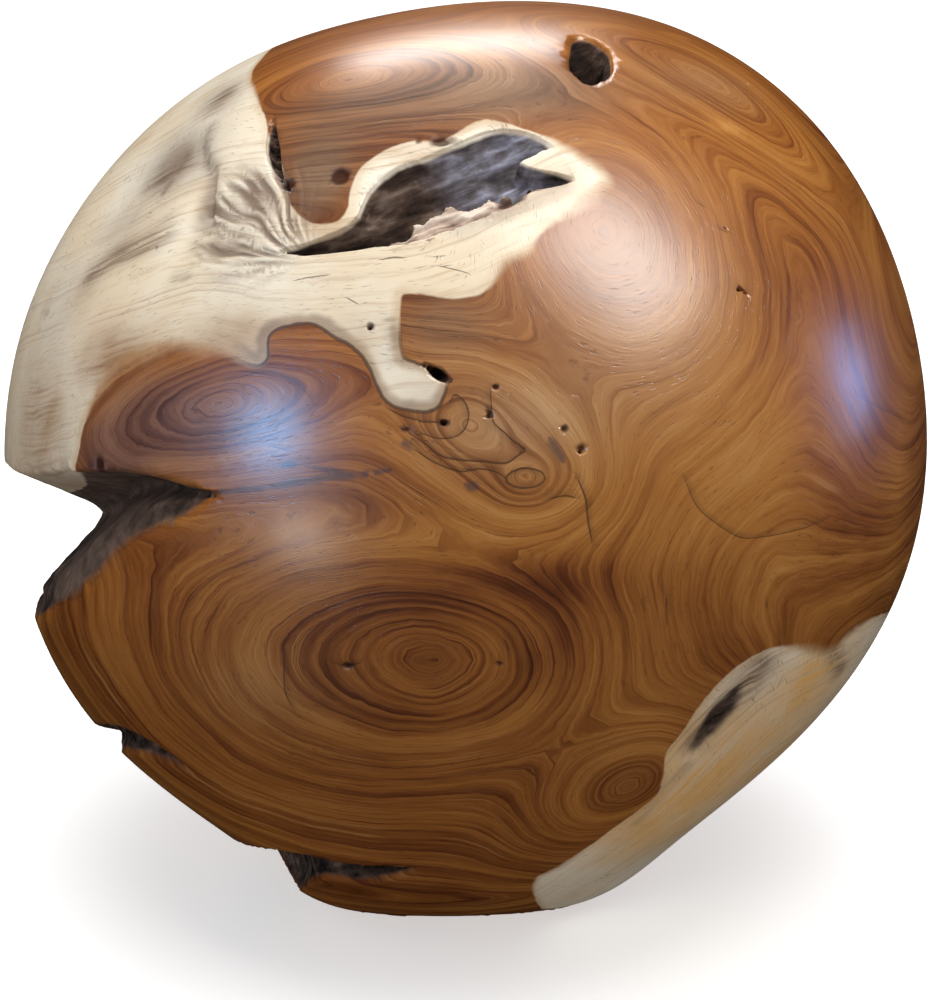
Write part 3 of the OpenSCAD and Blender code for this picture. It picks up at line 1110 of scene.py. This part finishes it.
def hollow_colour(g, position):
    """Torn wood in the hollows: brown to black, with painted light on the ridges' crests and painted shade
    in the troughs; grey with a painted blue sheen in part of the wing hollow, pale on its bank.
    """
    lumps = g.noise(120.0, position, detail=3.0, rough=0.65)
    streaks = g.noise(230.0, fibre_space(g, position), detail=3.0, rough=0.65)
    level = g.scale_add(centred(g, lumps), 0.6, 0.42)
    level = g.scale_add(centred(g, streaks), 0.9, level)
    # Painted light on the torn ridges' crests and painted shade in the troughs between them
    level = g.scale_add(g.field("crest_painted_light"), 0.16, level)
    torn = level
    level = g.math("ADD", g.step(g.field("wing"), 0.2, 0.5, -0.12, 0.0), level)
    # Painted blue sheen over grey torn wood in part of the wing hollow
    blue = g.step(g.field("wing_blue_sheen"), 0.25, 0.7)
    colour = g.mix(blue, g.ramp(level, HOLLOW_BROWNS), g.ramp(level, HOLLOW_GREYS_AND_BLUE_SHEEN))
    colour = g.mix(g.field("cleft"), colour, g.ramp(torn, CLEFT_BROWNS))
    colour = g.mix(g.field("bank"), colour, g.ramp(torn, BANK_STOPS))
    return colour, streaks


def joined_woods(g, position, wobble, heart, cream):
    """Sapwood laid over the heartwood, with a warm rim, and a taupe band and dark outline in places."""
    soft = g.field("soft")
    edge = g.scale_add(wobble, 1.2, g.field("sap"))
    ragged = g.times(centred(g, g.noise(60.0, position, detail=4.0, rough=0.65)), soft)
    edge = g.scale_add(ragged, 1.6, edge)
    uneven = g.noise(45.0, position, detail=3.0, rough=0.6)
    rim = g.times(g.step(edge, 4.0, 0.0), g.step(uneven, 0.35, 0.65, 0.2, 0.75))
    cream = g.mix(rim, cream, SAP_WARM)
    creamy = g.step(edge, g.times(soft, -1.0), soft)
    colour = g.mix(creamy, heart, cream)
    banded = g.field("banded")
    inner = g.scale_add(centred(g, uneven), 9.0, edge)
    band = g.times(g.step(edge, -0.4, 0.4), g.step(inner, 4.6, 1.8))
    band = g.times(band, g.step(uneven, 0.25, 0.65, 1.0, 0.55))
    colour = g.mix(g.times(g.times(band, banded), 0.85), colour, TAUPE)
    outline = g.times(g.step(g.math("ABSOLUTE", edge), 0.8, 0.25), banded)
    return g.mix(g.times(outline, 0.8), colour, LINE_DARK), creamy


def stained_and_fold_shaded(g, wobble, colour):
    """Blue-grey stains, and painted shade in the folds of the fan."""
    blue = g.math("ADD", g.field("blue_near"), g.times(wobble, 2.2))
    blue = g.math("DIVIDE", blue, g.field("blue_width"))
    colour = g.mix(g.times(g.step(blue, 2.2, 0.0), 0.65), colour, BLUE_STAIN)
    # Painted shade in the fan's folds, where its fibre ridges dip
    fan = g.times(g.field("fan"), g.step(g.field("fan_ridge"), 0.3, -0.5))
    return g.mix(g.times(fan, 0.85), colour, SAP_STAIN_AND_SHADE)


def lined(g, wobble, colour, creamy):
    """Fine dark lines, with a shade on one side of them in the heartwood."""
    near = g.field("line_near")
    side = g.scale_add(wobble, 0.7, g.field("line_side"))
    shade = g.times(g.step(side, 2.6, 0.0), g.step(side, -0.3, 0.0))
    shade = g.times(shade, g.step(near, 3.0, 2.0))
    shade = g.times(shade, g.math("SUBTRACT", 1.0, creamy))
    colour = g.mix(g.times(shade, 0.3), colour, LINE_DARK)
    width = g.field("line_width")
    wide, narrow = g.times(width, 1.3), g.times(width, 0.3)
    line = g.step(g.math("ABSOLUTE", side), wide, narrow)
    line = g.times(line, g.step(near, 1.2, 0.7))
    return g.mix(g.times(line, 0.75), colour, LINE_DARK)


def wood_bump(g, position, rings, pores, splinters):
    """Normal with a fine nap along the grain, open pores and splinters in the hollows."""
    nap = g.streak(position, rings, 9.0, 0.35, detail=1.0)
    height = g.scale_add(pores, -0.9, nap)
    height = g.times(height, 0.35)
    rugged = g.times(splinters, g.step(g.field("depth"), 1.0, 2.4))
    height = g.scale_add(rugged, 8.0, height)
    bump = g.node("ShaderNodeBump", Height=height, Distance=0.0002, Strength=0.5)
    return bump.outputs[0]


def wood_material():
    """Polished wood, with the skin's figure and the hollows' torn insides."""
    material = bpy.data.materials.new("root_wood")
    material.use_nodes = True
    tree = material.node_tree
    tree.nodes.clear()
    g = Graph(tree)
    position = g.node("ShaderNodeTexCoord").outputs["Object"]
    rings = g.field("rings")
    wobble = centred(g, g.noise(170.0, position, detail=2.0))

    heart, fibre = heartwood(g, position, rings)
    cream = sapwood_colour(g, position, g.field("sap_rings"))
    colour, creamy = joined_woods(g, position, wobble, heart, cream)
    colour = stained_and_fold_shaded(g, wobble, colour)
    colour = lined(g, wobble, colour, creamy)
    pores = g.step(g.streak(position, rings, 3.5, 0.45, detail=1.0), 0.62, 0.74)
    colour = g.mix(g.times(pores, 0.4), colour, LINE_DARK)
    # Dark in the pits: painted shade in the holes, and the knots' own dark wood
    pit = g.step(g.scale_add(wobble, 2.0, g.field("pit")), 1.3, 0.4)
    colour = g.mix(g.times(pit, 0.85), colour, PIT_DARK)
    inside, splinters = hollow_colour(g, position)
    full = g.scale_add(g.field("cleft"), 2.2, 2.4)
    torn = g.step(g.scale_add(wobble, 1.4, g.field("depth")), 1.0, full)
    colour = g.mix(torn, colour, inside)

    matt = g.math("MAXIMUM", torn, pit)
    polish = g.math("SUBTRACT", 1.0, matt)
    shader = g.node("ShaderNodeBsdfPrincipled", Base_Color=colour, Coat_Roughness=0.26)
    g.put(shader, "Roughness", g.blend(matt, g.scale_add(fibre, 0.16, 0.24), 0.9))
    g.put(shader, "Normal", wood_bump(g, position, rings, pores, splinters))
    g.put(shader, "Coat Weight", g.times(polish, 0.25))
    g.put(shader, "Specular IOR Level", g.blend(matt, 0.45, 0.08))
    out = g.node("ShaderNodeOutputMaterial")
    tree.links.new(shader.outputs[0], out.inputs[0])
    return material


# Stage

# Soft light from all round, from below to above
WORLD_STOPS = [
    (0.0, (0.46, 0.43, 0.40)),
    (0.42, (0.50, 0.48, 0.46)),
    (0.62, (0.60, 0.60, 0.60)),
    (1.0, (0.66, 0.66, 0.67)),
]
FLOOR_HALF = 6.0
FLOOR_FINISH = {
    "Base Color": (0.80, 0.80, 0.80, 1),
    "Roughness": 0.9,
    "Emission Color": (1, 1, 1, 1),
    "Emission Strength": 0.53,
    "Specular IOR Level": 0.1,
}


def add_camera():
    data = bpy.data.cameras.new("camera")
    data.sensor_width = SENSOR_MM
    data.lens = FOCAL_PX * SENSOR_MM / PHOTO_H
    data.clip_end = 50
    camera = linked("camera", data)
    drop = (PHOTO_H / 2 - BALL_PX[1]) / FOCAL_PX * VIEW_DISTANCE
    slide = (PHOTO_W / 2 - BALL_PX[0]) / FOCAL_PX * VIEW_DISTANCE
    eye = MIDDLE + BACK * VIEW_DISTANCE
    aim = MIDDLE - UP * drop + RIGHT * slide
    camera.location = Vector(eye)
    camera.rotation_euler = Vector(aim - eye).to_track_quat("-Z", "Y").to_euler()
    bpy.context.scene.camera = camera


def area_light(name, place, aim, size, power, colour):
    data = bpy.data.lights.new(name, "AREA")
    data.shape = "RECTANGLE"
    data.size, data.size_y = size
    data.energy = power
    data.color = colour
    light = linked(name, data)
    light.location = Vector(place)
    light.rotation_euler = Vector(aim - place).to_track_quat("-Z", "Y").to_euler()
    return light


def mirror_light(name, pixel, away, size, power, colour):
    """Light whose reflection falls on a pixel of the photograph."""
    normal = photo_dir(*pixel)
    spot = MIDDLE + normal * BALL_R
    view = MIDDLE + BACK * VIEW_DISTANCE - spot
    view /= np.linalg.norm(view)
    out = 2 * (normal @ view) * normal - view
    return area_light(name, spot + out * away, spot, size, power, colour)


def add_lights():
    white = (1.0, 0.98, 0.95)
    sky = (0.27, 0.56, 1.0)
    violet = (0.36, 0.50, 1.0)
    top = area_light("top", np.array([0.1, -0.1, 2.4]), MIDDLE, (2.2, 2.2), 55, white)
    top.visible_glossy = False
    gleams = [
        mirror_light("window", (618, 258), 1.5, (0.64, 0.88), 30, white),
        mirror_light("skylight", (445, 40), 1.6, (0.75, 0.32), 11, white),
        mirror_light("lamp left", (268, 432), 1.3, (0.31, 0.27), 11.5, sky),
        mirror_light("lamp low", (300, 538), 1.3, (0.30, 0.14), 2.5, white),
        mirror_light("lamp right", (848, 385), 1.5, (0.20, 0.32), 3.8, violet),
    ]
    for gleam in gleams:
        gleam.visible_diffuse = False


def add_world():
    world = bpy.data.worlds.new("studio")
    world.use_nodes = True
    bpy.context.scene.world = world
    g = Graph(world.node_tree)
    world.node_tree.nodes.clear()
    where = g.node("ShaderNodeTexCoord").outputs["Generated"]
    split = g.node("ShaderNodeSeparateXYZ", Vector=where)
    shade = g.ramp(g.scale_add(split.outputs[2], 0.5, 0.5), WORLD_STOPS)
    sky = g.node("ShaderNodeBackground", Color=shade, Strength=0.8)
    out = g.node("ShaderNodeOutputWorld")
    world.node_tree.links.new(sky.outputs[0], out.inputs[0])
    world.cycles_visibility.glossy = False


def add_floor():
    half = FLOOR_HALF
    mesh = bpy.data.meshes.new("floor")
    mesh.from_pydata(
        [(-half, -half, 0), (half, -half, 0), (half, half, 0), (-half, half, 0)], [], [(0, 1, 2, 3)]
    )
    floor = linked("floor", mesh)
    material = bpy.data.materials.new("pale_floor")
    material.use_nodes = True
    shader = material.node_tree.nodes["Principled BSDF"]
    for socket, value in FLOOR_FINISH.items():
        shader.inputs[socket].default_value = value
    mesh.materials.append(material)
    floor.visible_diffuse = False
    floor.visible_glossy = False


def build_ball():
    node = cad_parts[NODE]
    piece = remeshed(node)
    figure = shape_ball(piece)
    write_figure(piece, *figure)
    piece.data.materials.append(wood_material())
    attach(piece, "root")
    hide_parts(NODE)


build_ball()
add_camera()
add_lights()
add_world()
add_floor()
bpy.context.scene.view_settings.view_transform = "Standard"
